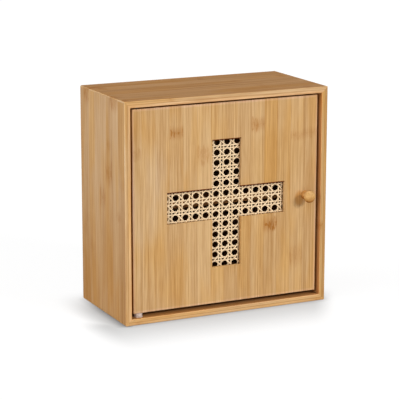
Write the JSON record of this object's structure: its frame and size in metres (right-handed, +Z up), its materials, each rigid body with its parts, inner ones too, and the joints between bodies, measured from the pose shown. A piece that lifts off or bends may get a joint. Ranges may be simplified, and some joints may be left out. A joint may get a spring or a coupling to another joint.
{
  "type": "medicine cabinet",
  "caption": "Square bamboo wall cabinet with a shelf and an inset pivoting door, its cross-shaped window backed by woven cane.",
  "frame": {"origin": "middle of the underside of the case, without the knob", "axes": "+X to the right as seen from the front, +Y from the door back to the wall, +Z up"},
  "size_m": [0.3, 0.163, 0.3],
  "materials": {
    "bamboo_side": "clear satin lacquer on flat-pressed bamboo, grain upright",
    "bamboo_flat": "clear satin lacquer on flat-pressed bamboo, grain along the width",
    "bamboo_door": "clear satin lacquer on flat-pressed bamboo, grain upright",
    "bamboo_trim": "clear satin lacquer",
    "bamboo_knob": "turned, clear satin lacquer",
    "bamboo_ply": "thin board of carbonised bamboo, matt",
    "cane": "natural woven cane, satin",
    "steel": "zinc plated, satin",
    "nylon": "moulded, satin",
    "catch_plastic": "moulded, matt",
    "ferrite": "dull, unplated"
  },
  "bodies": {
    "case": {"side_left": "bamboo_side", "side_right": "bamboo_side", "top_panel": "bamboo_flat", "bottom_panel": "bamboo_flat", "corner_keys": "bamboo_trim", "back_panel": "bamboo_ply", "back_brads": "steel", "hanging_rail": "bamboo_trim", "rail_screws": "steel", "shelf": "bamboo_flat", "shelf_pins": "steel", "upper_bush": "nylon", "lower_bush": "nylon", "catch_housing": "catch_plastic", "catch_magnet": "ferrite", "catch_poles": "steel", "catch_screws": "steel"},
    "door": {"door_panel": "bamboo_door", "cane_webbing": "cane", "batten_top": "bamboo_trim", "batten_bottom": "bamboo_trim", "batten_left": "bamboo_trim", "batten_right": "bamboo_trim", "batten_brads": "steel", "knob": "bamboo_knob", "knob_screw": "steel", "upper_pivot_pin": "steel", "lower_pivot_pin": "steel", "lower_spacer": "nylon", "strike_plate": "steel", "strike_screw": "steel"}
  },
  "joints": [
    {"name": "door_swing", "type": "hinge", "parent": "case", "child": "door", "pos_m": [-0.1284, -0.0655, 0], "axis": [0, 0, -1], "range_deg": [0, 120]}
  ]
}
